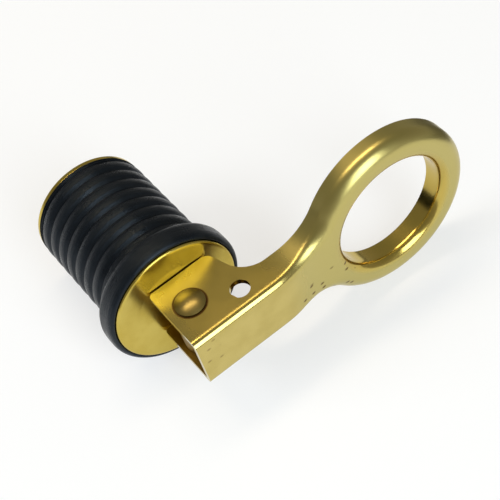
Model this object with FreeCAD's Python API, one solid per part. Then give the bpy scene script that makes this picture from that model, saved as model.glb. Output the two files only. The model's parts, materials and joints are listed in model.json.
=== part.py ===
import FreeCAD, Part
import math
import os

# Snap handle drain plug for a boat's transom drain tube, in millimetres.
# A ribbed rubber stopper is squeezed between two dished brass washers by a stem
# that a folded brass lever draws outboard.  The plug is modelled with the lever
# snapped shut, lying on its side as it comes to rest on a table.
# +X runs along the plug's axis, outboard.  +Y runs along the closed lever, from
# the pivot to the ring.  +Z is the pivot's axis, up.  The origin is on the plug's
# axis, in the plane of the flange's face that seats against the hull.

# Stopper
tube_diameter = 25.4
flange_radius = 15.2
flange_thickness = 5.6
flange_front_round = 1.0
flange_back_round = 1.2
flange_root_round = 0.5
neck_length = 2.9
neck_drop = 0.3
neck_groove_run = 0.6
rib_count = 7
rib_pitch = 3.3
rib_depth = 0.75
rib_land = 0.5
rib_shoulder_run = 0.5
rib_shoulder_drop = 0.18
end_lip_length = 0.55
end_lip_drop = 0.45
bore_clearance = 0.2

# Dished washers
washer_sheet = 1.0
washer_dish = 0.6
washer_slope_run = 4.6
washer_rim_width = 0.8
washer_edge_round = 0.45
washer_hole_clearance = 0.25
washer_seat_clearance = 0.15
front_washer_radius = 13.9
front_washer_proud = 0.4
end_washer_radius = 12.5

# Stem with a forged eye, and its adjusting nut
stem_diameter = 6.35
thread_pitch = 1.27
turns_of_adjustment = 2
thread_margin = 0.4
stem_chamfer = 0.6
eye_radius = 4.7
eye_edge_round = 0.6
eye_root_radius = 4.1
eye_root_length = 2.2
nut_sides = 6
nut_across_flats = 11.1
nut_height = 4.0
nut_chamfer = 0.6
nut_thread_clearance = 0.05

# Lever, folded from one sheet
lever_sheet = 1.2
channel_width = 13.3
pivot_to_end = 5.05
pivot_to_cam = 7.25
pivot_to_face = 8.95
pivot_to_throat = 8.9
throat_rake = 3.0
cam_round = 2.6
throat_round = 1.9
neck_hollow_round = 6.0
wall_depth = 5.3
channel_bend = 1.6
ring_bend = 3.0
ring_drop = 1.5
drop_run = 14.0
ring_level_run = 1.683
pivot_to_ring = 43.5
ring_outer_radius = 18.75
ring_width = 6.15
ring_hole_bend = 2.0
neck_flare = 12.5
lanyard_hole_radius = 2.05
lanyard_hole_out = 4.2
lanyard_hole_along = 8.9
cam_clearance = 0.06

# Pivot rivet
rivet_radius = 2.4
rivet_head_radius = 3.15
rivet_head_height = 1.2
rivet_running_clearance = 0.05
eye_side_clearance = 0.1

# Places that follow from the sizes above
plug_radius = tube_diameter / 2
stem_radius = stem_diameter / 2
body_length = neck_length + rib_count * rib_pitch + end_lip_length
front_floor_back = flange_thickness + front_washer_proud - washer_sheet - washer_dish
front_floor = front_floor_back + washer_sheet
end_floor_back = washer_dish - body_length
end_floor = end_floor_back - washer_sheet
cam_reach = cam_round + math.hypot(pivot_to_end - cam_round, pivot_to_cam - cam_round)
pivot_x = front_floor + cam_reach + cam_clearance
lever_face = pivot_x + pivot_to_face
lever_cam = pivot_x - pivot_to_cam
ring_face = lever_face - ring_drop
wall_edge = ring_face - wall_depth
ring_hole_radius = ring_outer_radius - ring_width
flare_span = ring_outer_radius + neck_flare
flare_run = math.sqrt(flare_span ** 2 - (channel_width / 2 + neck_flare) ** 2)
flare_touch = pivot_to_ring - flare_run * ring_outer_radius / flare_span
drop_stop = flare_touch - ring_level_run
drop_start = drop_stop - drop_run
nut_outer_face = end_floor - nut_height
stem_end = nut_outer_face - turns_of_adjustment * thread_pitch - thread_margin
cut_margin = 2.0
full_turn = 360.0
same_place = 10 * Part.Precision.confusion()


def point(x, y, z=0.0):
    return FreeCAD.Vector(x, y, z)


def rounded_corner(before, corner, after, radius):
    """The start, middle and end of the arc that rounds one corner."""
    back = (before - corner).normalize()
    forth = (after - corner).normalize()
    half = back.getAngle(forth) / 2
    inward = (back + forth).normalize()
    reach = radius / math.tan(half)
    middle = corner + inward * (radius / math.sin(half) - radius)
    return corner + back * reach, middle, corner + forth * reach


def rounded_face(corners):
    """A flat face in the XY plane, from its corners, each x, y and a rounding radius."""
    places = [point(x, y) for x, y, radius in corners]
    edges = []
    stretches = []
    for index, (x, y, radius) in enumerate(corners):
        corner = places[index]
        if radius > 0:
            after = places[(index + 1) % len(places)]
            start, middle, end = rounded_corner(places[index - 1], corner, after, radius)
            stretches.append((start, end, Part.Arc(start, middle, end).toShape()))
        else:
            stretches.append((corner, corner, None))
    for index, (start, end, arc) in enumerate(stretches):
        before = stretches[index - 1][1]
        if (start - before).Length > Part.Precision.confusion():
            edges.append(Part.LineSegment(before, start).toShape())
        if arc:
            edges.append(arc)
    return Part.Face(Part.Wire(edges))


def turned_about_x(corners):
    """A solid of revolution about the plug's axis, from corners of x, radius, rounding."""
    return rounded_face(corners).revolve(point(0, 0), point(1, 0), full_turn)


def along_x(radius, start, end):
    return Part.makeCylinder(radius, end - start, point(start, 0, 0), point(1, 0, 0))


def along_z(radius, x, y, half_length):
    base = point(x, y, -half_length)
    return Part.makeCylinder(radius, 2 * half_length, base, point(0, 0, 1))


def edges_where(shape, wanted):
    return [edge for edge in shape.Edges if wanted(edge)]


def dished_washer(radius, floor_back):
    """A stamped washer, its rim raised towards +X above a flat floor."""
    floor_front = floor_back + washer_sheet
    rim_back = floor_back + washer_dish
    rim_front = floor_front + washer_dish
    rim_inner = radius - washer_rim_width
    floor_outer = rim_inner - washer_slope_run
    hole = stem_radius + washer_hole_clearance
    return turned_about_x([
        (floor_back, hole, 0),
        (floor_back, floor_outer, 0),
        (rim_back, rim_inner, 0),
        (rim_back, radius, washer_edge_round),
        (rim_front, radius, washer_edge_round),
        (rim_front, rim_inner, 0),
        (floor_front, floor_outer, 0),
        (floor_front, hole, 0),
    ])


def washer_seat(radius, floor_back):
    """The room that a dished washer presses into the rubber."""
    rim_inner = radius - washer_rim_width + washer_seat_clearance
    floor_outer = rim_inner - washer_slope_run
    rim_back = floor_back + washer_dish
    front = rim_back + washer_sheet + cut_margin
    return turned_about_x([
        (floor_back, 0, 0),
        (floor_back, floor_outer, 0),
        (rim_back, rim_inner, 0),
        (rim_back, radius, 0),
        (front, radius, 0),
        (front, 0, 0),
    ])


def mirrored_end_to_end(shape):
    return shape.mirror(point(0, 0), point(1, 0))


def make_front_washer():
    return dished_washer(front_washer_radius, front_floor_back)


def make_end_washer():
    return mirrored_end_to_end(dished_washer(end_washer_radius, -end_floor_back))


def rib_corners(start):
    """One rib from just past its outboard groove to its inboard groove, as x and radius."""
    middle = start - rib_pitch / 2
    shoulder = plug_radius - rib_shoulder_drop
    return [
        (start - rib_shoulder_run, shoulder, 0),
        (middle + rib_land / 2, plug_radius, 0),
        (middle - rib_land / 2, plug_radius, 0),
        (start - rib_pitch + rib_shoulder_run, shoulder, 0),
        (start - rib_pitch, plug_radius - rib_depth, 0),
    ]


def ribbed_barrel():
    """The part of the stopper that the tube grips, with its rings of ribs."""
    start = -neck_length
    end = start - rib_count * rib_pitch
    corners = [(end, 0, 0), (start, 0, 0), (start, plug_radius - rib_depth, 0)]
    for index in range(rib_count):
        corners += rib_corners(start - index * rib_pitch)
    return turned_about_x(corners)


def make_stopper():
    neck_radius = plug_radius - neck_drop
    groove = plug_radius - rib_depth
    flange = turned_about_x([
        (-neck_length, 0, 0),
        (-neck_length, groove, 0),
        (-neck_length + neck_groove_run, neck_radius, 0),
        (0, neck_radius, flange_root_round),
        (0, flange_radius, flange_back_round),
        (flange_thickness, flange_radius, flange_front_round),
        (flange_thickness, 0, 0),
    ])
    end_radius = plug_radius - end_lip_drop
    lip = along_x(end_radius, -body_length, end_lip_length - body_length)
    rubber = flange.fuse([ribbed_barrel(), lip]).removeSplitter()
    front_room = washer_seat(front_washer_radius, front_floor_back)
    end_room = mirrored_end_to_end(washer_seat(end_washer_radius, -end_floor_back))
    bore_radius = stem_radius + bore_clearance
    bore = along_x(bore_radius, -body_length - cut_margin, flange_thickness + cut_margin)
    return rubber.cut([front_room, end_room, bore])


def make_stem():
    shank = along_x(stem_radius, stem_end, pivot_x)
    tip = edges_where(shank, lambda edge: edge.BoundBox.XMax < stem_end + stem_chamfer)
    shank = shank.makeChamfer(stem_chamfer, tip)
    root_start = pivot_x - eye_radius - eye_root_length
    root = Part.makeCone(
        stem_radius, eye_root_radius, pivot_x - root_start,
        point(root_start, 0, 0), point(1, 0, 0),
    )
    half = channel_width / 2 - lever_sheet - eye_side_clearance
    eye = along_z(eye_radius, pivot_x, 0, half)
    eye = eye.makeFillet(eye_edge_round, edges_where(eye, lambda edge: edge.Closed))
    hole = along_z(rivet_radius + rivet_running_clearance, pivot_x, 0, half + cut_margin)
    return shank.fuse([root, eye]).cut(hole)


def make_nut():
    corner_radius = nut_across_flats / 2 / math.cos(math.pi / nut_sides)
    start = nut_outer_face
    corners = []
    for index in range(nut_sides + 1):
        angle = 2 * math.pi * index / nut_sides
        corners.append(point(start, corner_radius * math.cos(angle), corner_radius * math.sin(angle)))
    hexagon = Part.Face(Part.makePolygon(corners)).extrude(point(nut_height, 0, 0))
    envelope = turned_about_x([
        (start, 0, 0),
        (start, nut_across_flats / 2, 0),
        (start + nut_chamfer, corner_radius, 0),
        (start + nut_height, corner_radius, 0),
        (start + nut_height, 0, 0),
    ])
    thread = along_x(stem_radius + nut_thread_clearance, start - cut_margin, end_floor + cut_margin)
    return hexagon.common(envelope).cut(thread)


def lever_plan(inset, near_end, x):
    """The lever's outline as seen along the plug's axis, drawn in by a distance."""
    half = channel_width / 2 - inset
    ring = ring_outer_radius - inset
    flare = neck_flare + inset
    run = math.sqrt((ring + flare) ** 2 - (half + flare) ** 2)
    flare_y = pivot_to_ring - run
    touch_y = pivot_to_ring - run * ring / (ring + flare)
    touch_z = (half + flare) * ring / (ring + flare)
    turn = math.atan2(run, half + flare) / 2
    middle_y = flare_y + flare * math.sin(turn)
    middle_z = half + flare - flare * math.cos(turn)
    far = point(x, pivot_to_ring + ring, 0)
    sides = []
    for side in (-1, 1):
        straight = point(x, flare_y, side * half)
        middle = point(x, middle_y, side * middle_z)
        touch = point(x, touch_y, side * touch_z)
        near = point(x, near_end, side * half)
        sides.append((near, straight, middle, touch))
    low, high = sides
    return Part.Face(Part.Wire([
        Part.LineSegment(low[0], low[1]).toShape(),
        Part.Arc(low[1], low[2], low[3]).toShape(),
        Part.Arc(low[3], far, high[3]).toShape(),
        Part.Arc(high[3], high[2], high[1]).toShape(),
        Part.LineSegment(high[1], high[0]).toShape(),
        Part.LineSegment(high[0], low[0]).toShape(),
    ]))


def crown_height(y, depth):
    """How far out the lever's front lies at y, sunk by a depth into the sheet."""
    radius = (drop_run ** 2 + ring_drop ** 2) / (4 * ring_drop)
    middle = drop_start + (radius - depth) * drop_run / 2 / radius
    if y <= drop_start:
        return lever_face - depth
    if y >= drop_stop:
        return ring_face - depth
    if y <= middle:
        return lever_face - radius + math.sqrt((radius - depth) ** 2 - (y - drop_start) ** 2)
    return ring_face + radius - math.sqrt((radius + depth) ** 2 - (drop_stop - y) ** 2)


def crown_side(near_end, back, depth):
    """The lever's side under its front, where the ring drops below the channel."""
    radius = (drop_run ** 2 + ring_drop ** 2) / (4 * ring_drop)
    turn = math.asin(drop_run / 2 / radius)
    far = pivot_to_ring + ring_outer_radius + cut_margin

    def on_crown(y):
        return point(crown_height(y, depth), y)

    middle = drop_start + (radius - depth) * math.sin(turn)
    bend_down = drop_start + (radius - depth) * math.sin(turn / 2)
    bend_level = drop_stop - (radius + depth) * math.sin(turn / 2)
    side = Part.Face(Part.Wire([
        Part.LineSegment(point(back, near_end), on_crown(near_end)).toShape(),
        Part.LineSegment(on_crown(near_end), on_crown(drop_start)).toShape(),
        Part.Arc(on_crown(drop_start), on_crown(bend_down), on_crown(middle)).toShape(),
        Part.Arc(on_crown(middle), on_crown(bend_level), on_crown(drop_stop)).toShape(),
        Part.LineSegment(on_crown(drop_stop), on_crown(far)).toShape(),
        Part.LineSegment(on_crown(far), point(back, far)).toShape(),
        Part.LineSegment(point(back, far), point(back, near_end)).toShape(),
    ]))
    reach = ring_outer_radius + cut_margin
    side.translate(point(0, 0, -reach))
    return side.extrude(point(0, 0, 2 * reach))


def fold_front_edges(block, depth):
    """Rounds the edges where the sheet folds from its front into its walls.

    Only the channel's and the ring's edges are given a radius.  The stretch of the
    fold between them has none of its own, so it blends from one to the other.
    """

    def on_crown(place):
        return abs(place.x - crown_height(place.y, depth)) < same_place

    def fold_radius(edge, low, high):
        if edge.Closed:
            return ring_hole_bend - depth
        if high < drop_start + same_place:
            return channel_bend - depth
        if low > drop_stop - same_place:
            return ring_bend - depth
        return None

    folds = []
    for number, edge in enumerate(block.Edges, start=1):
        ends = [edge.valueAt(edge.FirstParameter), edge.valueAt(edge.LastParameter)]
        lengthwise = edge.BoundBox.YLength > same_place
        radius = fold_radius(edge, min(end.y for end in ends), max(end.y for end in ends))
        if radius and lengthwise and all(on_crown(end) for end in ends):
            folds.append((number, radius, radius))
    document = FreeCAD.newDocument("folding")
    base = document.addObject("Part::Feature", "base")
    base.Shape = block
    fillet = document.addObject("Part::Fillet", "fillet")
    fillet.Base = base
    fillet.Edges = folds
    document.recompute()
    folded = fillet.Shape.copy()
    FreeCAD.closeDocument(document.Name)
    return folded


def lever_block(depth, near_end, back):
    """A solid with the lever's outline and crown, sunk by a depth into the sheet."""
    height = lever_face - back
    outline = lever_plan(depth, near_end, back).extrude(point(height, 0, 0))
    hole = Part.makeCylinder(
        ring_hole_radius + depth, height + 2 * cut_margin,
        point(back - cut_margin, pivot_to_ring, 0), point(1, 0, 0),
    )
    block = outline.common(crown_side(near_end, back, depth)).cut(hole)
    return fold_front_edges(block, depth)


def lever_side():
    """The kept depth of the folded walls, seen along the pivot."""
    far = pivot_to_ring + ring_outer_radius + cut_margin
    top = lever_face + cut_margin
    side = rounded_face([
        (lever_cam, -pivot_to_end, cam_round),
        (lever_cam, pivot_to_throat, throat_round),
        (wall_edge, pivot_to_throat + throat_rake, neck_hollow_round),
        (wall_edge, far, 0),
        (top, far, 0),
        (top, -pivot_to_end, 0),
    ])
    reach = ring_outer_radius + cut_margin
    side.translate(point(0, 0, -reach))
    return side.extrude(point(0, 0, 2 * reach))


def make_lever():
    outer = lever_block(0, -pivot_to_end, lever_cam)
    inner = lever_block(lever_sheet, -pivot_to_end - cut_margin, lever_cam - cut_margin)
    folded = outer.cut(inner).common(lever_side())
    across = channel_width / 2 + cut_margin
    pivot_hole = along_z(rivet_radius, pivot_x, 0, across)
    lanyard_hole = along_z(
        lanyard_hole_radius, pivot_x + lanyard_hole_out, lanyard_hole_along, across
    )
    return folded.cut([pivot_hole, lanyard_hole])


def rivet_dome():
    """One domed head on the upper ear, a slice of a ball."""
    ball = (rivet_head_radius ** 2 + rivet_head_height ** 2) / (2 * rivet_head_height)
    seat = channel_width / 2
    dome = Part.makeSphere(ball, point(pivot_x, 0, seat + rivet_head_height - ball))
    keep = along_z(rivet_head_radius + cut_margin, pivot_x, 0, rivet_head_height)
    keep.translate(point(0, 0, seat + rivet_head_height))
    return dome.common(keep)


def make_rivet():
    shank = along_z(rivet_radius, pivot_x, 0, channel_width / 2)
    upper = rivet_dome()
    lower = upper.mirror(point(0, 0), point(0, 0, 1))
    return shank.fuse([upper, lower])


def write_node(name, shape):
    solids = shape.Solids
    assert len(solids) == 1 and shape.isValid(), name
    solids[0].exportStep(os.path.join("parts", name + ".step"))
    print(name, round(shape.Volume, 1), "mm3")


def main():
    os.makedirs("parts", exist_ok=True)
    write_node("rubber_stopper", make_stopper())
    write_node("front_washer", make_front_washer())
    write_node("end_washer", make_end_washer())
    write_node("stem", make_stem())
    write_node("adjusting_nut", make_nut())
    write_node("lever", make_lever())
    write_node("pivot_rivet", make_rivet())
    print("pivot at x", round(pivot_x, 3), "lever face at x", round(lever_face, 3))


main()
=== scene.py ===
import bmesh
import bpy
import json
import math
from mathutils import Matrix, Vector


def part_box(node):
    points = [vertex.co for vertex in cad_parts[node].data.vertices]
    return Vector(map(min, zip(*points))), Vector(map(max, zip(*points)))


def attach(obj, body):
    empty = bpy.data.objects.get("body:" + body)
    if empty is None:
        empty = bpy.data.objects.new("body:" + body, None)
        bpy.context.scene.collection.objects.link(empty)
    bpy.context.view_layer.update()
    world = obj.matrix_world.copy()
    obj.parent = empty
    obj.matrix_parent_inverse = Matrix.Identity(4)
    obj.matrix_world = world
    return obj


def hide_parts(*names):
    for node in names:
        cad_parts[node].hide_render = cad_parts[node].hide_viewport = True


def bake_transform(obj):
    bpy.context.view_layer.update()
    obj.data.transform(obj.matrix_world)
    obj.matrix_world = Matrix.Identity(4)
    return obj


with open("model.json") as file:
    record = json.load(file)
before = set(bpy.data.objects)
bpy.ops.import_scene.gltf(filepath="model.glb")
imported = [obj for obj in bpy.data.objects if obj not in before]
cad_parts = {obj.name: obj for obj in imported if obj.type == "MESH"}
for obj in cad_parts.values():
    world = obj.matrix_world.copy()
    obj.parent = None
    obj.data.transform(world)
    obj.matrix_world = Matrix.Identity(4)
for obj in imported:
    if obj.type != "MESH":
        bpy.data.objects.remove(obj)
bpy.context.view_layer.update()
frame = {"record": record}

# %% [markdown]
# A snap handle drain plug for a boat
#
# The real thing stops the drain tube through a small boat's transom.  A ribbed rubber
# stopper sits between two brass washers on a threaded stem.  Snapping the brass ring
# lever shut pulls the stem outboard, which squeezes the rubber so that it bulges
# against the tube.
#
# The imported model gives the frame: every number below is in that frame, so each piece
# is modelled in the place where it lives, and nothing is fitted afterwards.  The first
# cell loads the tools and notes the box that the solids fill, in millimetres.

MM = 0.001
hinges = {joint["name"]: joint for joint in frame["record"]["behaviour"]["joints"]}
pivot_x = hinges["lever_flip"]["pos_m"][0] / MM
lever_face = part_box("lever")[1].x / MM
print("pivot at", round(pivot_x, 3), "lever face at", round(lever_face, 3))

# %% [markdown]
# Turned pieces
#
# Most of the plug is round about its own axis: the stopper, the washers, the stem.
# Each could be built from Blender's cylinders and cones, joined and trimmed.  A lathe
# is the better picture: draw half of the section once, round its corners, and spin it
# about the axis.  The section starts as a few vertices.  Beveling a single vertex of a
# wire rounds that corner, and the distance that it runs back along both legs follows
# from the wanted radius and the corner's angle.

# %% A section with rounded corners
def section_wire(bm, corners, closed):
    """Edges through corners of x, radius and rounding, in millimetres."""
    verts = [bm.verts.new((x * MM, 0, radius * MM)) for x, radius, rounding in corners]
    for first, second in zip(verts, verts[1:]):
        bm.edges.new((first, second))
    if closed:
        bm.edges.new((verts[-1], verts[0]))
    return verts


def round_corner(bm, vert, radius, segments):
    """Rounds one corner of a wire with an arc of the given radius."""
    legs = [edge.other_vert(vert).co - vert.co for edge in vert.link_edges]
    reach = radius * MM / math.tan(legs[0].angle(legs[1]) / 2)
    bmesh.ops.bevel(
        bm, geom=[vert], offset=reach, offset_type="OFFSET", segments=segments,
        profile=0.5, affect="VERTICES", material=-1, clamp_overlap=False,
    )


def rounded_section(corners, closed, segments=6):
    bm = bmesh.new()
    verts = section_wire(bm, corners, closed)
    for vert, (x, radius, rounding) in zip(verts, corners):
        if rounding > 0:
            round_corner(bm, vert, rounding, segments)
    return bm


# %% [markdown]
# Spinning and finishing
#
# The spin merges its last copy with the first, so the lathe work closes without a seam.
# Points on the axis fall together in one pole.  Smooth shading with a weighted normal
# keeps flats flat, because the large faces decide the normals where they meet a small
# rounding.

# %% The lathe
lathe_weld = 0.002


def spin_about_plug(bm, steps):
    bmesh.ops.spin(
        bm, geom=bm.verts[:] + bm.edges[:], cent=(0, 0, 0), axis=(1, 0, 0),
        angle=2 * math.pi, steps=steps, use_merge=True,
    )
    bmesh.ops.remove_doubles(bm, verts=bm.verts[:], dist=lathe_weld * MM)
    bmesh.ops.recalc_face_normals(bm, faces=bm.faces[:])


def turned(corners, closed=True, steps=128, segments=6):
    bm = rounded_section(corners, closed, segments)
    spin_about_plug(bm, steps)
    return bm


def make_object(name, bm, sharp=38):
    """A smooth-shaded object at the origin, its edges sharp above an angle in degrees."""
    mesh = bpy.data.meshes.new(name)
    bm.to_mesh(mesh)
    bm.free()
    mesh.polygons.foreach_set("use_smooth", [True] * len(mesh.polygons))
    mesh.set_sharp_from_angle(angle=math.radians(sharp))
    made = bpy.data.objects.new(name, mesh)
    bpy.context.scene.collection.objects.link(made)
    return made


def weigh_normals(piece):
    modifier = piece.modifiers.new("flat flats", "WEIGHTED_NORMAL")
    modifier.mode = "FACE_AREA"
    modifier.weight = 80
    modifier.keep_sharp = True


def place(piece, body, slot, *nodes):
    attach(piece, body)
    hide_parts(*nodes)
    print(piece.name, len(piece.data.polygons), "faces, rides on", body)


# %% [markdown]
# The stopper
#
# On the real plug this is one moulding of black rubber: a rounded flange that rests on
# the transom, and a barrel with seven soft ribs.  The ribs could be a bump map, but they
# break the outline, so they are in the section.  Each rib is a low tent whose crest has
# a generous radius, between narrow grooves.

# %% Sizes of the stopper
stopper_low, stopper_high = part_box("rubber_stopper")
flange_front = stopper_high.x / MM
flange_radius = stopper_high.z / MM
stopper_end = stopper_low.x / MM
plug_radius = 12.7
rib_count = 7
rib_pitch = 3.3
rib_depth = 0.8
rib_flank = 0.22
rib_tent = 0.12
shoulder_drop = 0.14
crest_round = 2.4
shoulder_round = 0.6
groove_round = 0.16
neck_length = 2.9
flange_front_round = 1.5
flange_back_round = 2.2
fine_round = 0.15
washer_sheet = 1.0
washer_rim = 0.8
washer_slope = 4.6
slope_foot_round = 3.0
slope_top_round = 0.6
seat_bore = 3.4
seat_gap = 0.02
pressed_flat = 0.4
stopper_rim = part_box("front_washer")[1].z / MM
end_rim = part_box("end_washer")[1].z / MM
print("stopper from", round(stopper_end, 2), "to", round(flange_front, 2))


# %% The stopper's section
def rib_corners(start):
    """The corners of one rib, from its outboard groove to its crest."""
    groove = plug_radius - rib_depth
    return [
        (start - rib_pitch * rib_flank, plug_radius - shoulder_drop, shoulder_round),
        (start - rib_pitch / 2, plug_radius + rib_tent, crest_round),
        (start - rib_pitch * (1 - rib_flank), plug_radius - shoulder_drop, shoulder_round),
        (start - rib_pitch, groove, groove_round),
    ]


def seat_corners(node, outward, raised=0.0):
    """The corners of the bed that a dished washer presses into the rubber."""
    low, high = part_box(node)
    radius = high.z / MM
    floor = (low.x if outward > 0 else high.x) / MM + outward * (raised - seat_gap)
    rim_back = floor + outward * ((high.x - low.x) / MM - washer_sheet - raised)
    return [
        (floor, seat_bore, 0), (floor, radius - washer_rim - washer_slope, slope_foot_round),
        (rim_back, radius - washer_rim, slope_top_round), (rim_back, radius + 0.06, fine_round),
    ]


def stopper_corners():
    corners = seat_corners("front_washer", 1, pressed_flat) + [
        (flange_front, stopper_rim + 0.1, 0.3),
        (flange_front, flange_radius, flange_front_round),
        (0.0, flange_radius, flange_back_round),
        (0.0, plug_radius - 0.25, 0.4),
        (-neck_length + 0.7, plug_radius - 0.2, 0.5),
        (-neck_length, plug_radius - rib_depth, groove_round),
    ]
    for index in range(rib_count):
        corners += rib_corners(-neck_length - index * rib_pitch)
    corners += [
        (stopper_end + 0.4, plug_radius - 0.3, fine_round),
        (stopper_end, plug_radius - 0.45, fine_round),
        (stopper_end, end_rim + 0.08, 0),
    ]
    return corners + list(reversed(seat_corners("end_washer", -1)))


ribbed_rubber = make_object("ribbed_rubber", turned(stopper_corners(), steps=160), sharp=60)
weigh_normals(ribbed_rubber)
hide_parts("rubber_stopper")

# %% [markdown]
# The washers
#
# Both washers are stamped from brass sheet: a flat floor, a low step and a rim that
# stands a little proud, so that the rim grips the rubber.  The section is the sheet's
# own, and every corner has the small radius that the press leaves.  The end washer keeps
# crisper edges, because its rim shows as a flat band beyond the ribs.  The outboard
# washer's floor is pressed up a little more than the solid's, as close to the ears as
# the photograph shows it.

# %% Both washers
washer_bore = 3.43
bore_round = 0.1
rim_back_round = 0.12
rim_front_rounds = {1: 0.45, -1: 0.2}


def washer_corners(low, high, radius, outward, raised):
    """A dished washer between two planes, its rim towards outward, +1 or -1."""
    floor_back, rim_front = (low + raised, high) if outward > 0 else (high - raised, low)
    rim_back = rim_front - outward * washer_sheet
    floor_front = floor_back + outward * washer_sheet
    inner = radius - washer_rim
    floor = inner - washer_slope
    return [
        (floor_back, washer_bore, bore_round),
        (floor_back, floor, slope_foot_round),
        (rim_back, inner, slope_top_round),
        (rim_back, radius, rim_back_round),
        (rim_front, radius, rim_front_rounds[outward]),
        (rim_front, inner, slope_top_round),
        (floor_front, floor, slope_foot_round),
        (floor_front, washer_bore, bore_round),
    ]


def make_washer(name, node, outward, body, raised=0.0):
    low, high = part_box(node)
    corners = washer_corners(low.x / MM, high.x / MM, high.z / MM, outward, raised)
    washer = make_object(name, turned(corners, steps=160, segments=5))
    weigh_normals(washer)
    place(washer, body, "washer_brass", node)
    return washer


outboard_washer = make_washer("outboard_washer", "front_washer", 1, "stopper", pressed_flat)
inboard_washer = make_washer("inboard_washer", "end_washer", -1, "tail")

# %% [markdown]
# The stem
#
# A turned brass stem runs through the plug.  Its tail is threaded for the adjusting nut,
# and its head is a flat-sided eye between the lever's ears.  A thread could be stacked
# rings, but those have no lead.  Spinning one tooth while it moves along the axis gives
# the true helix, and neighbouring turns meet exactly after one pitch.

# %% The thread
stem_low, stem_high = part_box("stem")
stem_end = stem_low.x / MM
stem_radius = 3.175
thread_pitch = 1.27
thread_root = stem_radius - 0.62 * thread_pitch
thread_length = 9.0
thread_turns = 10
thread_weld = 0.005
tip_chamfer = 0.7


def threaded_tail(turns, steps_a_turn=36):
    bm = bmesh.new()
    start = stem_end - thread_pitch
    tooth = [(0, thread_root), (0.12, thread_root), (0.5, stem_radius), (0.62, stem_radius), (1, thread_root)]
    corners = [(start + share * thread_pitch, radius, 0) for share, radius in tooth]
    section_wire(bm, corners, closed=False)
    bmesh.ops.spin(
        bm, geom=bm.verts[:] + bm.edges[:], cent=(0, 0, 0), axis=(1, 0, 0),
        angle=2 * math.pi * turns, steps=steps_a_turn * turns,
        dvec=(thread_pitch * MM / steps_a_turn, 0, 0), use_merge=False,
    )
    bmesh.ops.remove_doubles(bm, verts=bm.verts[:], dist=thread_weld * MM)
    return bm


def cut_and_cap(bm, x, outer):
    geometry = bm.verts[:] + bm.edges[:] + bm.faces[:]
    cut = bmesh.ops.bisect_plane(
        bm, geom=geometry, plane_co=(x * MM, 0, 0), plane_no=(1, 0, 0),
        clear_outer=outer, clear_inner=not outer,
    )
    rim = [item for item in cut["geom_cut"] if isinstance(item, bmesh.types.BMEdge)]
    bmesh.ops.edgeloop_fill(bm, edges=rim)


def chamfer_tip(bm):
    for vert in bm.verts:
        room = stem_radius - tip_chamfer + (vert.co.x / MM - stem_end)
        radius = math.hypot(vert.co.y, vert.co.z) / MM
        if radius > room:
            vert.co.y *= room / radius
            vert.co.z *= room / radius


thread = threaded_tail(thread_turns)
cut_and_cap(thread, stem_end, outer=False)
cut_and_cap(thread, stem_end + thread_length, outer=True)
chamfer_tip(thread)
bmesh.ops.recalc_face_normals(thread, faces=thread.faces[:])
print("thread faces", len(thread.faces))

# %% [markdown]
# The eye and the shank
#
# The eye is a short thick disc that stands on the pivot's axis.  It is turned like the
# rest and then laid over with a quarter turn.  The root is a cone that runs from the
# shank into the eye, as a forging does.

# %% The whole stem
eye_radius = 4.1
eye_half = stem_high.z / MM
eye_bore = 2.45
eye_bore_round = 0.2
eye_edge_round = 0.6
root_length = 2.2
root_depth = 2.6
root_radius = 3.6


def stand_on_pivot(bm):
    """Turns a piece made about the plug's axis so that it stands on the pivot's."""
    bmesh.ops.rotate(bm, verts=bm.verts[:], cent=(0, 0, 0), matrix=Matrix.Rotation(-math.pi / 2, 3, "Y"))
    bmesh.ops.translate(bm, verts=bm.verts[:], vec=(pivot_x * MM, 0, 0))


def add_to(bm, other):
    carried = bpy.data.meshes.new("carried")
    other.to_mesh(carried)
    other.free()
    bm.from_mesh(carried)
    bpy.data.meshes.remove(carried)


eye = turned([
    (-eye_half, eye_bore, eye_bore_round), (-eye_half, eye_radius, eye_edge_round),
    (eye_half, eye_radius, eye_edge_round), (eye_half, eye_bore, eye_bore_round),
], steps=72)
stand_on_pivot(eye)
shank_start = stem_end + thread_length - 0.4
shank = turned([
    (shank_start, 0, 0), (shank_start, stem_radius, 0.3),
    (pivot_x - eye_radius - root_length, stem_radius, 1.0), (pivot_x - root_depth, root_radius, 0),
    (pivot_x - root_depth, 0, 0),
], steps=72)
add_to(thread, eye)
add_to(thread, shank)
threaded_stem = make_object("threaded_stem", thread, sharp=32)
weigh_normals(threaded_stem)
place(threaded_stem, "stem", "stem_brass", "stem")

# %% [markdown]
# The adjusting nut
#
# A hexagon nut is a six-sided bar whose corners a lathe has cut back to a cone.  That is
# also the way to model it: a six-sided cone shape from bmesh is crossed with a turned
# ring, and what both share is the nut.

# %% The nut
nut_low, nut_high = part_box("adjusting_nut")
nut_start = nut_low.x / MM
nut_stop = nut_high.x / MM
nut_flats = 11.1
nut_corner = nut_flats / math.sqrt(3)
nut_chamfer = 0.7
nut_bore = 3.2
nut_mouth = 3.5
mouth_depth = 0.4
nut_edge = 0.12


def settle(piece):
    """Turns what the piece's modifiers make into its own mesh."""
    graph = bpy.context.evaluated_depsgraph_get()
    result = bpy.data.meshes.new_from_object(piece.evaluated_get(graph))
    piece.modifiers.clear()
    piece.data = result


def boolean(piece, other, operation):
    """Applies a boolean with another object, which is used up."""
    modifier = piece.modifiers.new("cut", "BOOLEAN")
    modifier.operation = operation
    modifier.solver = "EXACT"
    modifier.object = other
    settle(piece)
    bpy.data.objects.remove(other)


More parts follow.
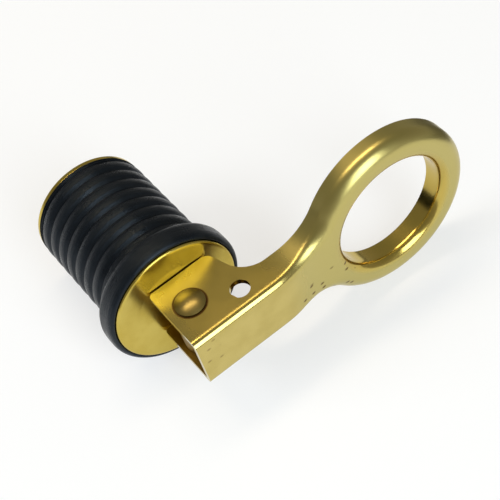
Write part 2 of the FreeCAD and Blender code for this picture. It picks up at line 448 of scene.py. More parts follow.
def hexagon_bar():
    bm = bmesh.new()
    bmesh.ops.create_cone(
        bm, cap_ends=True, segments=6, depth=(nut_stop - nut_start) * MM,
        radius1=nut_corner * MM, radius2=nut_corner * MM,
    )
    bmesh.ops.rotate(bm, verts=bm.verts[:], cent=(0, 0, 0), matrix=Matrix.Rotation(math.pi / 2, 3, "Y"))
    bmesh.ops.translate(bm, verts=bm.verts[:], vec=((nut_start + nut_stop) / 2 * MM, 0, 0))
    return make_object("adjusting_nut_hexagon", bm)


def nut_envelope():
    corner = nut_corner + 0.3
    flat = nut_flats / 2 - 0.1
    corners = [
        (nut_start, nut_mouth, 0), (nut_start, flat, 0), (nut_start + nut_chamfer, corner, 0),
        (nut_stop, corner, 0), (nut_stop, nut_mouth, 0),
        (nut_stop - mouth_depth, nut_bore, 0), (nut_start + mouth_depth, nut_bore, 0),
    ]
    return make_object("envelope", turned(corners, steps=96))


adjusting_nut_hexagon = hexagon_bar()
boolean(adjusting_nut_hexagon, nut_envelope(), "INTERSECT")
edge_break = adjusting_nut_hexagon.modifiers.new("broken edges", "BEVEL")
edge_break.width = nut_edge * MM
edge_break.segments = 2
edge_break.limit_method = "ANGLE"
edge_break.angle_limit = math.radians(28)
weigh_normals(adjusting_nut_hexagon)
place(adjusting_nut_hexagon, "tail", "stem_brass", "adjusting_nut")

# %% [markdown]
# The rivet
#
# A plain rivet pins the stem's eye between the ears.  Its heads are low domes with a
# small upright rim.  The section is drawn along the plug's axis, spun, and stood on the
# pivot like the eye.

# %% The rivet
rivet_low, rivet_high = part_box("pivot_rivet")
head_top = rivet_high.z / MM
head_radius = (rivet_high.x - rivet_low.x) / 2 / MM
head_height = 1.2
dome_rise = head_height - 0.35
dome_steps = 8
rivet_shank_radius = 2.4


def dome_points():
    """A wire from the head's rim over its dome to the axis, as x and radius."""
    ball = (head_radius ** 2 + dome_rise ** 2) / (2 * dome_rise)
    reach = math.asin(head_radius / ball)
    points = []
    for index in range(dome_steps + 1):
        angle = reach * (1 - index / dome_steps)
        points.append((head_top - ball * (1 - math.cos(angle)), ball * math.sin(angle), 0))
    return points


def rivet_corners():
    upper = [(head_top - head_height, head_radius - 0.05, 0)] + dome_points()
    lower = [(-x, radius, rounding) for x, radius, rounding in reversed(upper)]
    return lower + [
        (-head_top + head_height, rivet_shank_radius, 0), (head_top - head_height, rivet_shank_radius, 0),
    ] + upper


rivet_mesh = turned(rivet_corners(), closed=False, steps=96)
stand_on_pivot(rivet_mesh)
bmesh.ops.recalc_face_normals(rivet_mesh, faces=rivet_mesh.faces[:])
domed_rivet = make_object("domed_rivet", rivet_mesh, sharp=50)
place(domed_rivet, "lever", "rivet_brass", "pivot_rivet")

# %% [markdown]
# The lever's outline
#
# The lever is one blank of brass sheet, folded.  Seen along the plug it is a straight
# channel that flares into a ring.  Seen along the pivot, the folded walls are deep at
# the ears and shallow along the neck and ring.
#
# Half of it is enough, because the other half is a mirror image.  The work starts from
# the free edge of the folded wall: one wire that runs along the ear, up the throat, along
# the neck, out through the flare and round the ring.  Vertex bevels round the ear's
# corners, and two spins of the last vertex give the flare and the ring.

# %% Sizes of the lever
sheet = 1.2
channel_half = 6.65
ear_end = -5.05
ear_low = pivot_x - 7.25
ear_round = 0.9
throat = 8.9
throat_round = 1.9
throat_rake = 3.0
neck_hollow_round = 6.0
ring_drop = 1.5
drop_start = 13.0
drop_stop = 27.0
ring_centre = 43.5
ring_radius = 18.75
ring_hole = 12.6
ring_wall = lever_face - ring_drop - 5.3
channel_bend = 1.6
ring_bend = 3.0
hole_bend = 2.0
flare = 12.5
support = 0.3
lanyard_x = pivot_x + 4.2
lanyard_y = 8.9
lanyard_radius = 2.05
sheared_edge = 0.14
bend_grows_from = 16
bend_grows_to = 30
mirror_weld = 0.001
on_middle = 0.0001

flare_run = math.sqrt((ring_radius + flare) ** 2 - (channel_half + flare) ** 2)
flare_y = ring_centre - flare_run
flare_turn = math.atan2(flare_run, channel_half + flare)
print("the flare starts at y", round(flare_y, 2), "and turns", round(math.degrees(flare_turn), 1), "degrees")


# %% [markdown]
# Which way is out
#
# Every step from the free edge to the flat web moves points along the outline's outward
# direction, so one small function gives that direction anywhere on the outline.

# %% Outward direction and blends
def ease(value, start, stop):
    """0 before start, 1 after stop, and a smooth rise between."""
    share = min(max((value - start) / (stop - start), 0), 1)
    return share * share * (3 - 2 * share)


def outline_outward(y, z):
    """The unit direction in y and z that leaves the outline at a point on it."""
    if y <= flare_y + 0.0001:
        return 0.0, 1.0
    from_ring = math.hypot(y - ring_centre, z)
    touch_y = ring_centre - flare_run * ring_radius / (ring_radius + flare)
    if y < touch_y - 0.0001 and z > 0:
        return (flare_y - y) / flare, (channel_half + flare - z) / flare
    return (y - ring_centre) / from_ring, z / from_ring


def bend_at(y):
    return channel_bend + (ring_bend - channel_bend) * ease(y, bend_grows_from, bend_grows_to)


def face_at(y):
    share = min(max((y - drop_start) / (drop_stop - drop_start), 0), 1)
    return lever_face - ring_drop * share ** 3 * (share * (6 * share - 15) + 10)


# %% [markdown]
# The free edge
#
# The wire is drawn in the plane of the outer wall.  Long straight runs are divided, so
# that the later drop of the ring below the channel comes out smooth.

# %% The free edge of the folded wall
def free_edge():
    bm = bmesh.new()
    half = channel_half * MM
    corners = [
        (ear_end, ear_low + ear_round + 1, 0), (ear_end, ear_low, ear_round), (throat, ear_low, throat_round),
        (throat + throat_rake, ring_wall, neck_hollow_round), (flare_y, ring_wall, 0),
    ]
    verts = [bm.verts.new((x * MM, y * MM, half)) for y, x, rounding in corners]
    for first, second in zip(verts, verts[1:]):
        bm.edges.new((first, second))
    for vert, (y, x, rounding) in zip(verts, corners):
        if rounding > 0:
            round_corner(bm, vert, rounding, 10)
    stub = min((vert for vert in bm.verts if len(vert.link_edges) == 1), key=lambda vert: vert.co.y)
    bmesh.ops.delete(bm, geom=[stub], context="VERTS")
    long_edges = [edge for edge in bm.edges if edge.calc_length() > 1.2 * MM]
    for edge in long_edges:
        bmesh.ops.subdivide_edges(bm, edges=[edge], cuts=int(edge.calc_length() / MM / 0.8))
    last = max(bm.verts, key=lambda vert: vert.co.y)
    flared = bmesh.ops.spin(
        bm, geom=[last], cent=(0, flare_y * MM, (channel_half + flare) * MM),
        axis=(1, 0, 0), angle=flare_turn, steps=18,
    )
    tip = [item for item in flared["geom_last"] if isinstance(item, bmesh.types.BMVert)]
    bmesh.ops.spin(
        bm, geom=tip, cent=(0, ring_centre * MM, 0), axis=(1, 0, 0),
        angle=-(math.pi - (math.pi / 2 - flare_turn)), steps=56,
    )
    return bm


trial = free_edge()
ends = [tuple(round(value / MM, 2) for value in vert.co) for vert in trial.verts if len(vert.link_edges) == 1]
print("free edge of", len(trial.verts), "points, ends at", ends)
trial.free()

# %% [markdown]
# From the edge up to the web
#
# The wire is extruded row by row: up the wall, round the bend in small steps, and in
# over the web.  A narrow flat strip on each side of the bend keeps the shading of the
# flats apart from that of the bend.

# %% Rows of the folded blank
def walk(bm):
    """The wire's vertices in order, from the ear to the ring's far point."""
    vert = min((vert for vert in bm.verts if len(vert.link_edges) == 1), key=lambda vert: vert.co.y)
    line = [vert]
    edge = vert.link_edges[0]
    while True:
        vert = edge.other_vert(vert)
        line.append(vert)
        following = [other for other in vert.link_edges if other is not edge]
        if not following:
            return line
        edge = following[0]


def add_row(bm, line, places):
    """Extrudes an open row of vertices and sets where the new row lies."""
    joined = set(line)
    edges = [edge for edge in bm.edges if edge.verts[0] in joined and edge.verts[1] in joined]
    grown = bmesh.ops.extrude_edge_only(bm, edges=edges)
    new = {item for item in grown["geom"] if isinstance(item, bmesh.types.BMVert)}
    row = []
    for vert in line:
        partner = next(edge.other_vert(vert) for edge in vert.link_edges if edge.other_vert(vert) in new)
        row.append(partner)
    for vert, spot in zip(row, places):
        vert.co = Vector(spot) * MM
    return row


def bend_spot(y, z, radius, angle, inset=0.0, lowering=0.0):
    """A point on the bend: angle 90 degrees is the wall, 0 is the web."""
    out_y, out_z = outline_outward(y, z)
    back = radius * (1 - math.sin(angle)) + inset
    spot_y = y - out_y * back
    spot_z = z - out_z * back
    drop = radius * (1 - math.cos(angle)) + lowering
    return face_at(spot_y) - drop, spot_y, spot_z


def fold_up(bm, line, steps=12, wall_rows=3):
    outline = [(vert.co.y / MM, vert.co.z / MM) for vert in line]
    bottoms = [vert.co.x / MM for vert in line]
    tops = [bend_spot(y, z, bend_at(y), math.pi / 2, 0, support) for y, z in outline]
    row = line
    for index in range(1, wall_rows + 1):
        share = index / wall_rows
        spots = [
            (bottom + (top[0] - bottom) * share, y, z)
            for bottom, top, (y, z) in zip(bottoms, tops, outline)
        ]
        row = add_row(bm, row, spots)
    for index in range(steps + 1):
        angle = math.pi / 2 * (1 - index / steps)
        row = add_row(bm, row, [bend_spot(y, z, bend_at(y), angle) for y, z in outline])
    return add_row(bm, row, [bend_spot(y, z, bend_at(y), 0, support) for y, z in outline])


blank = free_edge()
shoulder = fold_up(blank, walk(blank))
print("folded rows hold", len(blank.faces), "faces")

# %% [markdown]
# The finger hole and the flat web
#
# The ring's hole has its own drawn wall: a half circle spun from one vertex and folded up
# in the same way, towards the inside.  Along the channel and neck the web is a strip from
# the bend to the middle line.  The rest of the web, around the hole, is flat, so one face
# fills it.

# %% The hole's wall and the web
def hole_spot(vert, radius, angle, inset=0.0, lowering=0.0):
    away = Vector((0, vert.co.y - ring_centre * MM, vert.co.z)).normalized()
    reach = ring_hole + radius * (1 - math.sin(angle)) + inset
    height = lever_face - ring_drop - radius * (1 - math.cos(angle)) - lowering
    return height, ring_centre + away.y * reach, away.z * reach


def hole_wall(bm, steps=10):
    start = bm.verts.new((ring_wall * MM, (ring_centre + ring_hole) * MM, 0))
    bmesh.ops.spin(
        bm, geom=[start], cent=(0, ring_centre * MM, 0), axis=(1, 0, 0), angle=math.pi, steps=72,
    )
    loose = [vert for vert in bm.verts if vert is start or (vert.link_edges and not vert.link_faces)]
    line = sorted(loose, key=lambda vert: -vert.co.y)
    row = add_row(bm, line, [hole_spot(vert, hole_bend, math.pi / 2, 0, support) for vert in line])
    for index in range(steps + 1):
        angle = math.pi / 2 * (1 - index / steps)
        row = add_row(bm, row, [hole_spot(vert, hole_bend, angle) for vert in line])
    return add_row(bm, row, [hole_spot(vert, hole_bend, 0, support) for vert in line])


def fill_web(bm, shoulder_row, hole_row):
    level_y = (drop_stop + 0.4) * MM
    strip = [vert for vert in shoulder_row if vert.co.y < level_y and vert.co.z > on_middle * MM]
    strip = shoulder_row[:len(strip)]
    middle = add_row(bm, strip, [(vert.co.x / MM, vert.co.y / MM, 0) for vert in strip])
    around = shoulder_row[len(strip) - 1:]
    loop = [middle[-1]] + around + hole_row
    bm.faces.new(loop)


lip = hole_wall(blank)
fill_web(blank, shoulder, lip)
print("web filled,", len(blank.faces), "faces in half a lever")

# %% [markdown]
# Both halves, and the sheet's thickness
#
# The half is mirrored across the middle plane and welded there.  Its normals are made to
# agree before the Solidify modifier adds the sheet's thickness on the inside.  A drill,
# a plain cylinder, then goes through both ears for the lanyard, and a fine bevel breaks
# the sheared edges of the sheet.

# %% The whole lever
def mirror_across_middle(bm):
    bmesh.ops.mirror(
        bm, geom=bm.verts[:] + bm.edges[:] + bm.faces[:], matrix=Matrix.Identity(4),
        merge_dist=mirror_weld * MM, axis="Z",
    )
    bmesh.ops.remove_doubles(bm, verts=bm.verts[:], dist=mirror_weld * MM)
    bmesh.ops.recalc_face_normals(bm, faces=bm.faces[:])
    web = max(bm.faces, key=lambda face: face.calc_area())
    if web.normal.x < 0:
        bmesh.ops.reverse_faces(bm, faces=bm.faces[:])


def drill(x, y, radius):
    bm = bmesh.new()
    bmesh.ops.create_cone(
        bm, cap_ends=True, segments=64, depth=30 * MM, radius1=radius * MM, radius2=radius * MM,
    )
    bmesh.ops.translate(bm, verts=bm.verts[:], vec=(x * MM, y * MM, 0))
    return make_object("drill", bm)


mirror_across_middle(blank)
ring_lever = make_object("ring_lever", blank, sharp=40)
thickness = ring_lever.modifiers.new("sheet", "SOLIDIFY")
thickness.thickness = sheet * MM
thickness.offset = -1
thickness.use_even_offset = True
boolean(ring_lever, drill(lanyard_x, lanyard_y, lanyard_radius), "DIFFERENCE")
ring_lever.data.polygons.foreach_set("use_smooth", [True] * len(ring_lever.data.polygons))
sheared = ring_lever.modifiers.new("sheared edges", "BEVEL")
sheared.width = sheared_edge * MM
sheared.segments = 2
sheared.limit_method = "ANGLE"
sheared.angle_limit = math.radians(50)
settle(ring_lever)
ring_lever.data.polygons.foreach_set("use_smooth", [True] * len(ring_lever.data.polygons))
ring_lever.data.set_sharp_from_angle(angle=math.radians(14))
weigh_normals(ring_lever)
place(ring_lever, "lever", "lever_brass", "lever")

# %% [markdown]
# Brass
#
# Polished brass has hardly any colour of its own besides its reflections.  What tells it
# from a flat metal colour is small: the roughness changes from place to place, fine hair
# scratches catch the light, and the sheet is never perfectly flat, so reflections wander.
# One function builds the metal, and each part gives it its own tone, wear and painted shade.  It first
# needs short helpers that add one node each and link it.

# %% Node helpers
def new_material(name):
    material = bpy.data.materials.new(name)
    material.use_nodes = True
    nodes = material.node_tree.nodes
    nodes.clear()
    output = nodes.new("ShaderNodeOutputMaterial")
    shader = nodes.new("ShaderNodeBsdfPrincipled")
    material.node_tree.links.new(shader.outputs["BSDF"], output.inputs["Surface"])
    return material, shader


def link(material, source, target):
    material.node_tree.links.new(source, target)


def object_coordinates(material, scale=(1, 1, 1), turn=(0, 0, 0)):
    """Object coordinates in millimetres, scaled and turned by a Mapping node."""
    nodes = material.node_tree.nodes
    source = nodes.new("ShaderNodeTexCoord")
    mapping = nodes.new("ShaderNodeMapping")
    mapping.inputs["Scale"].default_value = [value / MM for value in scale]
    mapping.inputs["Rotation"].default_value = [math.radians(value) for value in turn]
    link(material, source.outputs["Object"], mapping.inputs["Vector"])
    return mapping.outputs["Vector"]


def noise(material, vector, scale, detail=3.0, roughness=0.55):
    texture = material.node_tree.nodes.new("ShaderNodeTexNoise")
    texture.inputs["Scale"].default_value = scale
    texture.inputs["Detail"].default_value = detail
    texture.inputs["Roughness"].default_value = roughness
    link(material, vector, texture.inputs["Vector"])
    return texture.outputs["Fac"]


def remap(material, value, low, high, to_low, to_high):
    node = material.node_tree.nodes.new("ShaderNodeMapRange")
    node.interpolation_type = "SMOOTHSTEP"
    for name, number in (("From Min", low), ("From Max", high), ("To Min", to_low), ("To Max", to_high)):
        node.inputs[name].default_value = number
    link(material, value, node.inputs["Value"])
    return node.outputs["Result"]


def combine(material, operation, first, second):
    node = material.node_tree.nodes.new("ShaderNodeMath")
    node.operation = operation
    for socket, value in zip(node.inputs, (first, second)):
        if isinstance(value, (int, float)):
            socket.default_value = value
        else:
            link(material, value, socket)
    return node.outputs[0]


def blend_colours(material, factor, first, second):
    node = material.node_tree.nodes.new("ShaderNodeMix")
    node.data_type = "RGBA"
    for name, value in (("A", first), ("B", second)):
        socket = [item for item in node.inputs if item.name == name and item.type == "RGBA"][0]
        if isinstance(value, tuple):
            socket.default_value = (*value, 1)
        else:
            link(material, value, socket)
    link(material, factor, node.inputs["Factor"])
    return [item for item in node.outputs if item.type == "RGBA"][0]


def bump(material, height):
    """The normal that a height in millimetres gives."""
    node = material.node_tree.nodes.new("ShaderNodeBump")
    node.inputs["Strength"].default_value = 1.0
    node.inputs["Distance"].default_value = MM
    link(material, height, node.inputs["Height"])
    return node.outputs["Normal"]


print("brass and rubber share one set of node helpers")

# %% [markdown]
# Masks for wear
#
# Wear on the real plug keeps to places: one face, the inside of the fold, the rim of a
# hole.  Painting it would need an image.  A mask from the coordinates is lighter and
# stays with the piece when it moves: 1 in the place, 0 elsewhere, and soft between.

# %% Masks
def span_mask(material, vector, axis, low, high, feather):
    """1 where a coordinate in millimetres lies between two values."""
    split = material.node_tree.nodes.new("ShaderNodeSeparateXYZ")
    link(material, vector, split.inputs["Vector"])
    along = split.outputs[axis]
    rising = remap(material, along, low, low + feather, 0, 1)
    falling = remap(material, along, high - feather, high, 1, 0)
    return combine(material, "MULTIPLY", rising, falling)


def both(material, first, second):
    return combine(material, "MULTIPLY", first, second)


def ring_mask(material, centre, squash, inner, outer):
    """1 nearer an axis than the inner radius; squash is 0 along that axis and 1 across it."""
    nodes = material.node_tree.nodes
    source = nodes.new("ShaderNodeTexCoord")
    mapping = nodes.new("ShaderNodeMapping")
    mapping.inputs["Location"].default_value = [-value for value in centre]
    mapping.inputs["Scale"].default_value = [value / MM for value in squash]
    link(material, source.outputs["Object"], mapping.inputs["Vector"])
    length = nodes.new("ShaderNodeVectorMath")
    length.operation = "LENGTH"
    link(material, mapping.outputs["Vector"], length.inputs[0])
    return remap(material, length.outputs["Value"], inner, outer, 1, 0)


print("masks are made in millimetres; the pivot's is centred on x", round(pivot_x, 2))

# %% [markdown]
# Pits
#
# The sheet's skin has small oval pits, stretched along the lever because the sheet was
# rolled that way.  Noise would give blots of every size.  The cells of a flat Voronoi
# pattern give one spot each, and the cells' random colours choose which are shown.

# %% Pits
pit_cells = (0, 0.36, 0.62)
pit_core = 0.08
pit_rim = 0.24
pit_choice = (0.5, 0.54)
pit_depth = 0.03
pit_tone = (0.17, 0.11, 0.025)


def pit_spots(material):
    cells = material.node_tree.nodes.new("ShaderNodeTexVoronoi")
    cells.voronoi_dimensions = "2D"
    cells.inputs["Scale"].default_value = 1.0
    link(material, object_coordinates(material, pit_cells, (0, 90, 0)), cells.inputs["Vector"])
    spot = remap(material, cells.outputs["Distance"], pit_core, pit_rim, 1, 0)
    lottery = material.node_tree.nodes.new("ShaderNodeSeparateXYZ")
    link(material, cells.outputs["Color"], lottery.inputs["Vector"])
    return both(material, spot, remap(material, lottery.outputs["Y"], *pit_choice, 0, 1))


print("a pit is up to", round(pit_rim / pit_cells[1], 2), "mm long to each side")

# %% [markdown]
# The metal
#
# The metal is a Principled shader with its metallic at 1.  A broad soft noise bends the
# reflections, a stretched fine one scratches them, and a cloudy one mixes two tones and
# moves the roughness.  Wear, painted shade and pits are laid over that.

# %% The brass
def brass(name, tone, deep, rough, wander, hairlines, wear_and_shade=None, pitted=None):
    """Brass with a cloudy tone, a wandering surface and hair scratches.

    Where wear_and_shade is given, it returns colours, added roughnesses and masks for wear
    and for painted shade, and pitted returns the mask of the places that carry small pits.
    """
    material, shader = new_material(name)
    vector = object_coordinates(material)
    broad = noise(material, vector, 0.07, 0.0)
    cloud = noise(material, vector, 0.18, 2.0)
    hair = noise(material, object_coordinates(material, (5.0, 0.22, 1.4), (0, 0, 12)), 1.0, 2.0)
    colour = blend_colours(material, remap(material, cloud, 0.3, 0.7, 0, 1), tone, deep)
    roughness = remap(material, cloud, 0.3, 0.7, rough * 0.9, rough * 1.15)
    # Each entry lays its colour and added roughness over its mask; on the lever some entries are painted
    # shade.
    for shade, rougher, mask in (wear_and_shade(material, vector) if wear_and_shade else []):
        colour = blend_colours(material, mask, colour, shade)
        roughness = combine(material, "ADD", roughness, combine(material, "MULTIPLY", mask, rougher))
    height = combine(material, "MULTIPLY", broad, wander)
    height = combine(material, "ADD", height, combine(material, "MULTIPLY", hair, hairlines))
    if pitted:
        pit = both(material, pit_spots(material), pitted(material, vector))
        colour = blend_colours(material, pit, colour, pit_tone)
        height = combine(material, "SUBTRACT", height, combine(material, "MULTIPLY", pit, pit_depth))
    link(material, colour, shader.inputs["Base Color"])
    link(material, roughness, shader.inputs["Roughness"])
    shader.inputs["Metallic"].default_value = 1.0
    link(material, bump(material, height), shader.inputs["Normal"])
    return material


# %% [markdown]
# Where the brass is worn, and where shade is painted
#
# The lever has had the most use.  Its ring and neck are rubbed to a satin, the inside of
# the channel is dull, and the finger hole is polished.  The ears' outer faces carry painted
# shade, a darker and browner tone, and a ring of painted shade lies round the rivet's head.
# Most pits are on the lower half of the neck.

# %% Wear, painted shade and the four finishes
ear_skin = channel_half - 0.2
channel_skin = channel_half - sheet + 0.15
# Inner and outer radius, in millimetres, of the ring of painted shade round the rivet's head.
rivet_shade_start = 3.4
rivet_shade_stop = 3.75


def lever_wear_and_shade(material, vector):
    """A colour, an added roughness and a mask for each worn place of the lever, and for each place of painted
    shade.
    """
    satin = span_mask(material, vector, "Y", 15, 70, 8)
    along = span_mask(material, vector, "Y", -8, 20, 6)
    up = span_mask(material, vector, "Z", ear_skin, 9, 0.15)
    down = span_mask(material, vector, "Z", -9, -ear_skin, 0.15)
    # The ears' outer faces, which carry painted shade below and bound the painted ring round the rivet.
    ears = both(material, along, combine(material, "ADD", up, down))
    between = span_mask(material, vector, "Z", -channel_skin, channel_skin, 0.1)
    behind = span_mask(material, vector, "X", 0, lever_face - sheet + 0.1, 0.1)
    channel = both(material, both(material, between, behind), span_mask(material, vector, "Y", -8, 19, 3))
    # A ring of painted shade round the rivet's head, on the ears' outer faces.
    painted_rivet_shade = both(material, ring_mask(material, (pivot_x, 0, 0), (1, 1, 0), rivet_shade_start, rivet_shade_stop), ears)
    hole = ring_mask(material, (0, ring_centre, 0), (0, 1, 1), ring_hole + 0.5, ring_hole + hole_bend)
    return [
        ((0.53, 0.45, 0.155), 0.13, satin),
        ((0.56, 0.42, 0.10), -0.12, hole),
        # Painted shade: the ears' outer faces take a darker, browner tone and more roughness.
        ((0.39, 0.31, 0.085), 0.12, ears),
        ((0.4, 0.27, 0.06), 0.12, channel),
        # Painted shade: a dark ring round the rivet's head.
        ((0.07, 0.035, 0.01), 0.25, painted_rivet_shade),
    ]


def pitted_web(material, vector):
    """Most pits are on the lower half of the neck, and a few at the ears' end of the web."""
    neck = both(
        material, span_mask(material, vector, "Z", -14, -1, 1), span_mask(material, vector, "Y", 18, 36, 1),
    )
    end = both(
        material, span_mask(material, vector, "Z", -3, 6, 1), span_mask(material, vector, "Y", -6, 0, 1),
    )
    front = span_mask(material, vector, "X", lever_face - 2.0, lever_face + 1, 0.1)
    faint_end = combine(material, "MULTIPLY", end, 0.5)
    return both(material, front, combine(material, "ADD", neck, faint_end))


def darker_stem_eye(material, vector):
    """The eye between the ears is darker and rougher."""
    return [((0.26, 0.17, 0.04), 0.12, span_mask(material, vector, "X", pivot_x - 6, pivot_x + 6, 0.5))]


lever_brass = brass(
    "lever_brass", (0.57, 0.46, 0.15), (0.52, 0.415, 0.125), 0.17, 0.04, 0.0008, lever_wear_and_shade, pitted_web,
)
washer_brass = brass("washer_brass", (0.60, 0.465, 0.105), (0.54, 0.405, 0.075), 0.22, 0.04, 0.001)
stem_brass = brass("stem_brass", (0.52, 0.40, 0.13), (0.42, 0.30, 0.08), 0.34, 0.01, 0.002, darker_stem_eye)
rivet_brass = brass("rivet_brass", (0.30, 0.235, 0.08), (0.24, 0.18, 0.055), 0.36, 0.02, 0.002)
finishes = (lever_brass, washer_brass, stem_brass, rivet_brass)
print("brass finishes:", [finish.name for finish in finishes])

# %% [markdown]
# Rubber
#
# The stopper is a satin black with a cold cast.  Handling leaves it slightly dusty and
# scuffed, so its roughness varies, and thin pale scuffs run round the ribs and break up
# their highlights.

# %% The rubber
def rubber_material():
    material, shader = new_material("satin_rubber")
    vector = object_coordinates(material)
    round_scuffs = noise(material, object_coordinates(material, (6.0, 0.35, 0.35)), 1.0, 4.0)
    cloud = noise(material, vector, 0.22, 3.0)
    grit = noise(material, vector, 7.0, 2.0)
    scuffed = remap(material, round_scuffs, 0.6, 0.72, 0, 0.5)
    colour = blend_colours(material, scuffed, (0.0030, 0.0044, 0.0070), (0.016, 0.021, 0.027))
    dusty = remap(material, cloud, 0.5, 0.78, 0, 0.35)
    colour = blend_colours(material, dusty, colour, (0.008, 0.0108, 0.015))
    link(material, colour, shader.inputs["Base Color"])
    link(material, remap(material, cloud, 0.3, 0.7, 0.24, 0.42), shader.inputs["Roughness"])
    shader.inputs["Specular IOR Level"].default_value = 0.27
    shader.inputs["Specular Tint"].default_value = (0.72, 0.86, 1.0, 1)
    height = combine(material, "MULTIPLY", grit, 0.016)
    height = combine(material, "ADD", height, combine(material, "MULTIPLY", round_scuffs, 0.09))
    link(material, bump(material, height), shader.inputs["Normal"])
    return material


satin_rubber = rubber_material()


def dress(piece, material):
    piece.data.materials.clear()
    piece.data.materials.append(material)


dress(ribbed_rubber, satin_rubber)
dress(outboard_washer, washer_brass)
dress(inboard_washer, washer_brass)
dress(threaded_stem, stem_brass)
dress(adjusting_nut_hexagon, stem_brass)
dress(ring_lever, lever_brass)
dress(domed_rivet, rivet_brass)
print("dressed in brass and rubber")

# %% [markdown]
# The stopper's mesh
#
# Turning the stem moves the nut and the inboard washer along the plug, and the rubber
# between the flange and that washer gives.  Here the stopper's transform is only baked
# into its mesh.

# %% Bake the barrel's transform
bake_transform(ribbed_rubber)

# %% [markdown]
# The table
#
# The plug lies on its side on a white table: the ring, the flange and the inboard end
# touch it.  Those three points give the table's plane, which tips a few degrees from the
# level of the frame.  A table that is only lit shows grey where light falls off.  Part of
# this one's white is a plain emission that only the camera and mirroring surfaces see, so
# it stays white, keeps the plug's soft shadow and throws no light on the plug.

# %% The floor
white_share = 0.6
table_half = 3.0
end_touch_radius = 12.5


def table_plane():
    ring_low = Vector((ring_wall + 0.1, ring_centre, -ring_radius))
    flange_low = Vector((1.2, 0, -flange_radius))
    end_low = Vector((stopper_end - 0.9, 0, -end_touch_radius))
    normal = (flange_low - ring_low).cross(end_low - ring_low).normalized()
    if normal.z < 0:
        normal.negate()
    return ring_low, normal


def table_material():
    """White card, of which a share is white to the camera and to the brass in any light."""
    material, shader = new_material("white_table")
    shader.inputs["Base Color"].default_value = (0.90, 0.935, 0.98, 1)
    shader.inputs["Roughness"].default_value = 0.7
    shader.inputs["Specular IOR Level"].default_value = 0.1
    nodes = material.node_tree.nodes
    path = nodes.new("ShaderNodeLightPath")
    seen = combine(material, "MAXIMUM", path.outputs["Is Camera Ray"], path.outputs["Is Glossy Ray"])
    seen = combine(material, "MAXIMUM", seen, path.outputs["Is Transmission Ray"])
    white = nodes.new("ShaderNodeEmission")
    mix = nodes.new("ShaderNodeMixShader")
    link(material, combine(material, "MULTIPLY", seen, white_share), mix.inputs["Fac"])
    link(material, shader.outputs["BSDF"], mix.inputs[1])
    link(material, white.outputs["Emission"], mix.inputs[2])
    link(material, mix.outputs["Shader"], nodes["Material Output"].inputs["Surface"])
    return material


def make_floor():
    spot, normal = table_plane()
    bm = bmesh.new()
    bmesh.ops.create_grid(bm, x_segments=1, y_segments=1, size=table_half)
    bmesh.ops.rotate(bm, verts=bm.verts[:], cent=(0, 0, 0), matrix=normal.to_track_quat("Z", "Y").to_matrix())
    bmesh.ops.translate(bm, verts=bm.verts[:], vec=(spot - normal * 0.05) * MM)
    floor = make_object("table_top", bm)
    floor.data.materials.append(table_material())
    return normal


table_normal = make_floor()
print("the table tips", round(math.degrees(table_normal.angle(Vector((0, 0, 1)))), 1), "degrees")

# %% [markdown]
# Camera
#
# The camera stands where the photograph was taken from: outboard of the plug and above
# it, rolled so that the stopper runs up to the left.  Its place, turn and lens were
# fitted to the outlines in the photograph.

# %% The camera
camera_spot = (158.633, -39.939, 203.768)
camera_turn = (36.8537, 12.278, 53.4329)
camera_lens = 94.322


def make_camera():
    data = bpy.data.cameras.new("camera")
    data.sensor_width = 36
    data.lens = camera_lens
    data.clip_start = 0.01
    camera = bpy.data.objects.new("camera", data)
    camera.location = Vector(camera_spot) * MM
    camera.rotation_euler = [math.radians(value) for value in camera_turn]
    bpy.context.scene.collection.objects.link(camera)
    bpy.context.scene.camera = camera


make_camera()
print("the camera's lens is", camera_lens, "mm")

# %% [markdown]
# Light
#
# Brass is drawn by what it mirrors.  A narrow warm lamp overhead draws the thin orange
# line along the upper side of the bends, and a broad cool one beyond the web, like a
# window, draws the wide pale highlight beside it.  A third lamp from the front fills the
# shadow on the table and is hidden from mirroring surfaces, which keeps the neck's dark
# olive.

# %% Lamps
def area_lamp(name, spot, aim, size, watts, colour=(1, 1, 1)):
    data = bpy.data.lights.new(name, "AREA")
    data.shape = "RECTANGLE"
    data.size, data.size_y = size
    data.energy = watts
    data.color = colour
    lamp = bpy.data.objects.new(name, data)
    lamp.location = spot
    lamp.rotation_euler = (Vector(spot) - Vector(aim)).to_track_quat("Z", "Y").to_euler()
    bpy.context.scene.collection.objects.link(lamp)
    return lamp


middle = (0.0, 0.015, 0.0)
area_lamp("overhead", (-0.16, 0.03, 0.59), middle, (0.5, 0.1), 1.3, (1.0, 0.8, 0.55))
area_lamp("window", (0.58, 0.06, 0.33), middle, (0.34, 0.56), 3.1, (0.86, 0.94, 1.0))
fill = area_lamp("front_fill", (-0.2, -0.62, 0.5), middle, (0.5, 0.45), 3.5, (0.92, 0.96, 1.0))
fill.visible_glossy = False

print("three lamps, the fill hidden from mirroring surfaces")

# %% [markdown]
# The dark card
#
# Photographers lay black card beside polished metal to draw its edges.  This one lies on
# the table beyond the plug.  The camera doesn't see it, it casts no shadow, and it takes
# no light from the table, so it is only there as a reflection.

# %% The dark card
card_start = 0.054
card_half = 0.4


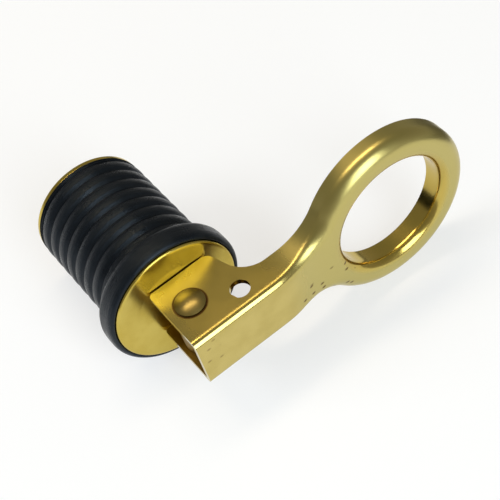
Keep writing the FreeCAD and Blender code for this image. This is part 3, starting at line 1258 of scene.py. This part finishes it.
def dark_card():
    """A dark card on the table beyond the plug."""
    spot, normal = table_plane()
    bm = bmesh.new()
    bmesh.ops.create_grid(bm, x_segments=1, y_segments=1, size=card_half)
    bmesh.ops.translate(bm, verts=bm.verts[:], vec=(card_start + card_half, 0.03, 0))
    bmesh.ops.rotate(bm, verts=bm.verts[:], cent=(0, 0, 0), matrix=normal.to_track_quat("Z", "Y").to_matrix())
    bmesh.ops.translate(bm, verts=bm.verts[:], vec=spot * MM + normal * 0.0005)
    card = make_object("dark_card", bm)
    material, shader = new_material("dark_card")
    shader.inputs["Base Color"].default_value = (0.12, 0.12, 0.11, 1)
    shader.inputs["Roughness"].default_value = 1.0
    card.data.materials.append(material)
    card.visible_camera = False
    card.visible_shadow = False
    card.visible_diffuse = False


dark_card()
print("the card starts", round(card_start / MM), "mm outboard of the flange's back")


# %% [markdown]
# The world
#
# Around the lamps there is a dim grey room, which the metal shows as its darker bands.
# It is a plain ramp by height, a little warmer and darker up where the ears look.

# %% The world
world_stops = (
    (0.5, (0.33, 0.32, 0.30, 1)),
    (0.6, (0.3, 0.28, 0.25, 1)),
    (0.78, (0.245, 0.235, 0.195, 1)),
    (0.9, (0.24, 0.235, 0.19, 1)),
    (1.0, (0.32, 0.30, 0.24, 1)),
)


def make_world():
    """Dim greys by height: 0.5 is the horizon and 1.0 is straight up."""
    world = bpy.data.worlds.new("studio")
    bpy.context.scene.world = world
    world.use_nodes = True
    nodes = world.node_tree.nodes
    links = world.node_tree.links
    nodes.clear()
    output = nodes.new("ShaderNodeOutputWorld")
    direction = nodes.new("ShaderNodeTexCoord")
    split = nodes.new("ShaderNodeSeparateXYZ")
    links.new(direction.outputs["Generated"], split.inputs["Vector"])
    height = nodes.new("ShaderNodeMapRange")
    height.inputs["From Min"].default_value = -1
    height.inputs["From Max"].default_value = 1
    links.new(split.outputs["Z"], height.inputs["Value"])
    ramp = nodes.new("ShaderNodeValToRGB")
    stops = ramp.color_ramp.elements
    stops[0].position, stops[0].color = world_stops[0]
    stops[1].position, stops[1].color = world_stops[-1]
    for height_share, colour in world_stops[1:-1]:
        added = stops.new(height_share)
        added.color = colour
    links.new(height.outputs["Result"], ramp.inputs["Fac"])
    shade = nodes.new("ShaderNodeBackground")
    links.new(ramp.outputs["Color"], shade.inputs["Color"])
    links.new(shade.outputs["Background"], output.inputs["Surface"])


make_world()
bpy.context.scene.view_settings.view_transform = "Standard"
print("the world has", len(world_stops), "greys")
